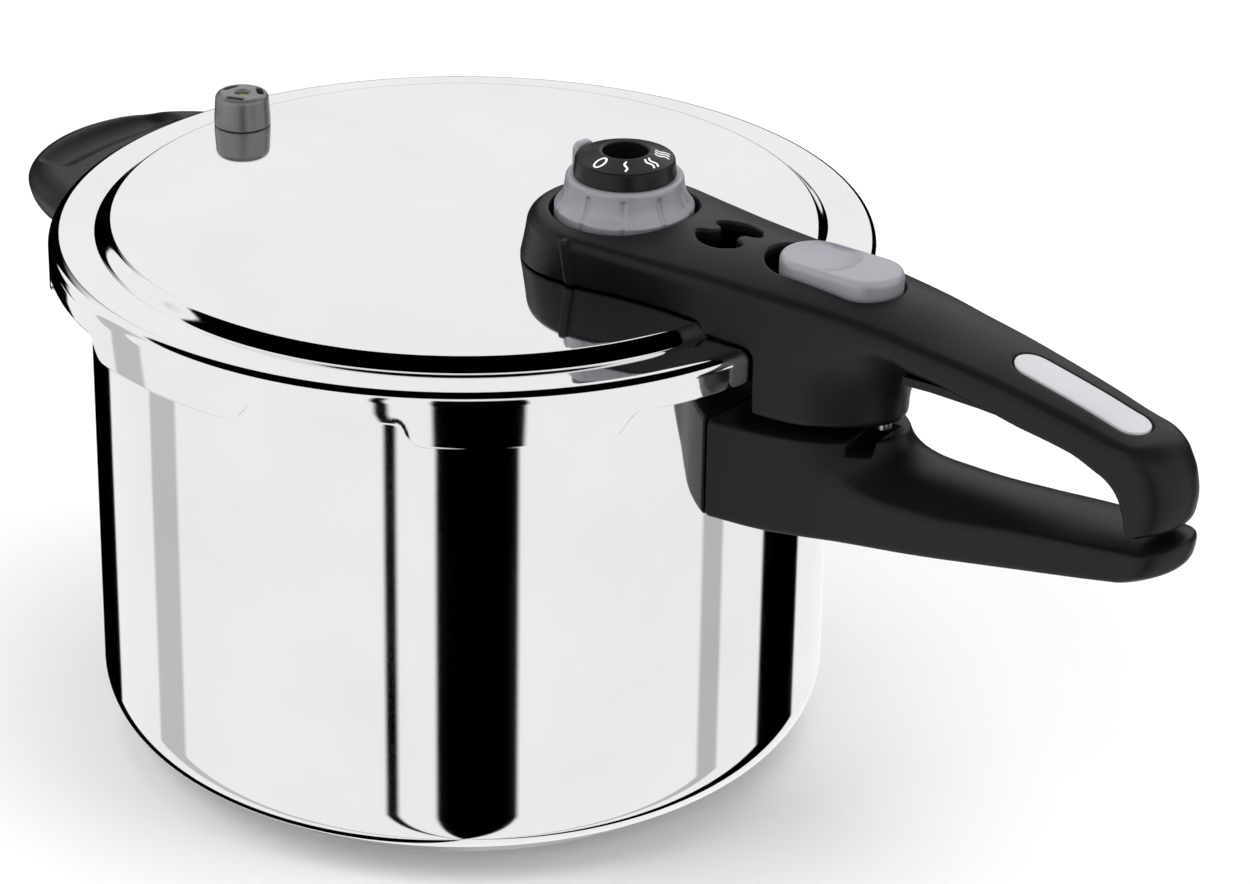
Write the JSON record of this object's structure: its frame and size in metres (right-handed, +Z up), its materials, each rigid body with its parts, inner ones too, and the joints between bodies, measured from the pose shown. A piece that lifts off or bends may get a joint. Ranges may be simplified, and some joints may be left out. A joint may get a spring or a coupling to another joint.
{
  "type": "stovetop pressure cooker",
  "caption": "Stovetop pressure cooker: mirror-steel pot and bayonet lid, long twin handle with selector knob and opening button, helper handle and safety valve.",
  "frame": {"origin": "on the pot's axis, at the underside of the base where it rests on the hob", "axes": "+Z up along the pot's axis, +X along the two long handles, -X to the helper handle"},
  "size_m": [0.4121, 0.2456, 0.2014],
  "materials": {
    "polished_steel": "mirror-polished stainless steel",
    "base_steel": "satin stainless steel",
    "plain_steel": "plain stainless steel",
    "aluminium": "plain",
    "handle_plastic": "fine-grained satin heat-resistant plastic",
    "inner_plastic": "plain moulded plastic",
    "silicone": "matt silicone rubber",
    "plate_metal": "satin metal",
    "grey_plastic": "silver-grey painted plastic",
    "dial_plastic": "semi-gloss black",
    "mark_paint": "white print",
    "signal_plastic": "dark moulded plastic",
    "valve_metal": "satin turned metal",
    "brass": "turned brass"
  },
  "bodies": {
    "pot": {"pot_body": "polished_steel", "base_core": "aluminium", "base_cap": "base_steel", "lower_handle": "handle_plastic", "lower_handle_bracket": "plain_steel", "lower_handle_screw": "plain_steel", "helper_handle": "handle_plastic", "helper_bracket": "plain_steel", "helper_screws": "plain_steel"},
    "gasket": {"gasket": "silicone"},
    "lid": {"lid": "polished_steel", "lid_handle_bracket": "plain_steel", "bracket_screw": "plain_steel", "handle_casing": "handle_plastic", "handle_base": "inner_plastic", "handle_base_screws": "plain_steel", "grip_cover": "handle_plastic", "grip_cover_screws": "plain_steel", "name_plate": "plate_metal", "steam_nozzle": "plain_steel", "nozzle_seal": "silicone", "nozzle_nut": "plain_steel", "bolt_bush": "plain_steel", "regulator_spring": "plain_steel", "safety_valve_cap": "valve_metal", "safety_valve_spring": "plain_steel", "safety_valve_seal": "silicone", "safety_valve_nut": "plain_steel"},
    "selector": {"selector_collar": "grey_plastic", "selector_dial": "dial_plastic", "dial_marks": "mark_paint"},
    "regulator": {"regulator_weight": "plain_steel"},
    "button": {"lock_button": "grey_plastic", "lock_slider": "inner_plastic"},
    "bolt": {"lock_bolt": "plain_steel"},
    "indicator": {"indicator_pin": "signal_plastic", "indicator_seal": "silicone"},
    "relief": {"safety_valve_plunger": "brass"}
  },
  "joints": [
    {"name": "lid_lift", "type": "slide", "parent": "pot", "child": "gasket", "axis": [0, 0, 1], "range_m": [0, 0.2]},
    {"name": "lid_turn", "type": "hinge", "parent": "gasket", "child": "lid", "pos_m": [0, 0, 0.16], "axis": [0, 0, 1], "range_deg": [0, 25.71]},
    {"name": "selector_turn", "type": "hinge", "parent": "lid", "child": "selector", "pos_m": [0.0594, 0, 0.19], "axis": [0, 0, 1], "range_deg": [0, 110]},
    {"name": "regulator_lift", "type": "slide", "parent": "lid", "child": "regulator", "axis": [0, 0, 1], "range_m": [0, 0.002], "stiffness_N_per_m": 400, "springref_m": -0.002, "deforming": ["regulator_spring"]},
    {"name": "button_slide", "type": "slide", "parent": "lid", "child": "button", "axis": [-1, 0, 0], "range_m": [0, 0.004]},
    {"name": "bolt_drop", "type": "slide", "parent": "lid", "child": "bolt", "axis": [0, 0, -1], "range_m": [0, 0.004]},
    {"name": "indicator_rise", "type": "slide", "parent": "lid", "child": "indicator", "axis": [0, 0, 1], "range_m": [0, 0.004]},
    {"name": "relief_lift", "type": "slide", "parent": "lid", "child": "relief", "axis": [0, 0, 1], "range_m": [0, 0.002], "stiffness_N_per_m": 600, "springref_m": -0.003, "deforming": ["safety_valve_spring"]}
  ],
  "couplings": [
    {"joint": "bolt_drop", "follows": "button_slide", "ratio": 1}
  ]
}
